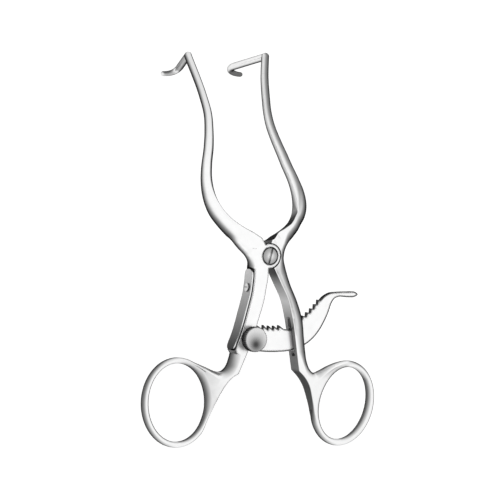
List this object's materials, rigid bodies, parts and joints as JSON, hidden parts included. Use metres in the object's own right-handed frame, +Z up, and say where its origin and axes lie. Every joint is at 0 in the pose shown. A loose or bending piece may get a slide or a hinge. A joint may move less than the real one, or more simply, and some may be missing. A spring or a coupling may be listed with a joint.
{
  "type": "cervical spine retractor",
  "caption": "Self-retaining spine retractor: two pivoted arms with finger rings, toothed ratchet bar with thumb tail, leaf spring, knurled thumb screw and slender jaws ending in blunt hooks.",
  "frame": {"origin": "centre of the bounding box's underside, on the surface that the instrument lies on", "axes": "+X to the right arm, +Y from the finger rings to the jaws, +Z up; it rests on its finger rings and hook ends"},
  "size_m": [0.102, 0.1588, 0.0349],
  "materials": {
    "satin_steel": "satin",
    "screw_steel": "satin",
    "spring_steel": "satin"
  },
  "bodies": {
    "left_arm_body": {"left_arm": "satin_steel", "spring_screw": "screw_steel"},
    "right_arm_body": {"right_arm": "satin_steel", "pivot_screw": "screw_steel"},
    "ratchet_bar_body": {"ratchet_bar": "satin_steel"},
    "thumb_screw_body": {"thumb_screw": "screw_steel"},
    "leaf_spring_body": {"leaf_spring": "spring_steel"}
  },
  "joints": [
    {"name": "arms_pivot", "type": "hinge", "parent": "left_arm_body", "child": "right_arm_body", "pos_m": [-0.00063, -0.01215, 0.02933], "axis": [0, -0.3891, 0.9212], "range_deg": [-24, 18]},
    {"name": "ratchet_release", "type": "hinge", "parent": "left_arm_body", "child": "ratchet_bar_body", "pos_m": [-0.00713, -0.04116, 0.01708], "axis": [0, -0.3891, 0.9212], "range_deg": [-5, 0], "stiffness_Nm_per_rad": 0.1, "springref_deg": 2.86},
    {"name": "thumb_screw_turn", "type": "hinge", "parent": "left_arm_body", "child": "thumb_screw_body", "pos_m": [-0.00713, -0.04116, 0.01708], "axis": [0, -0.3891, 0.9212], "continuous": true},
    {"name": "leaf_spring_flex", "type": "hinge", "parent": "left_arm_body", "child": "leaf_spring_body", "pos_m": [-0.00735, -0.02349, 0.02454], "axis": [0, -0.3891, 0.9212], "range_deg": [-1, 0]}
  ],
  "couplings": [
    {"joint": "leaf_spring_flex", "follows": "ratchet_release", "ratio": 0.1667}
  ]
}
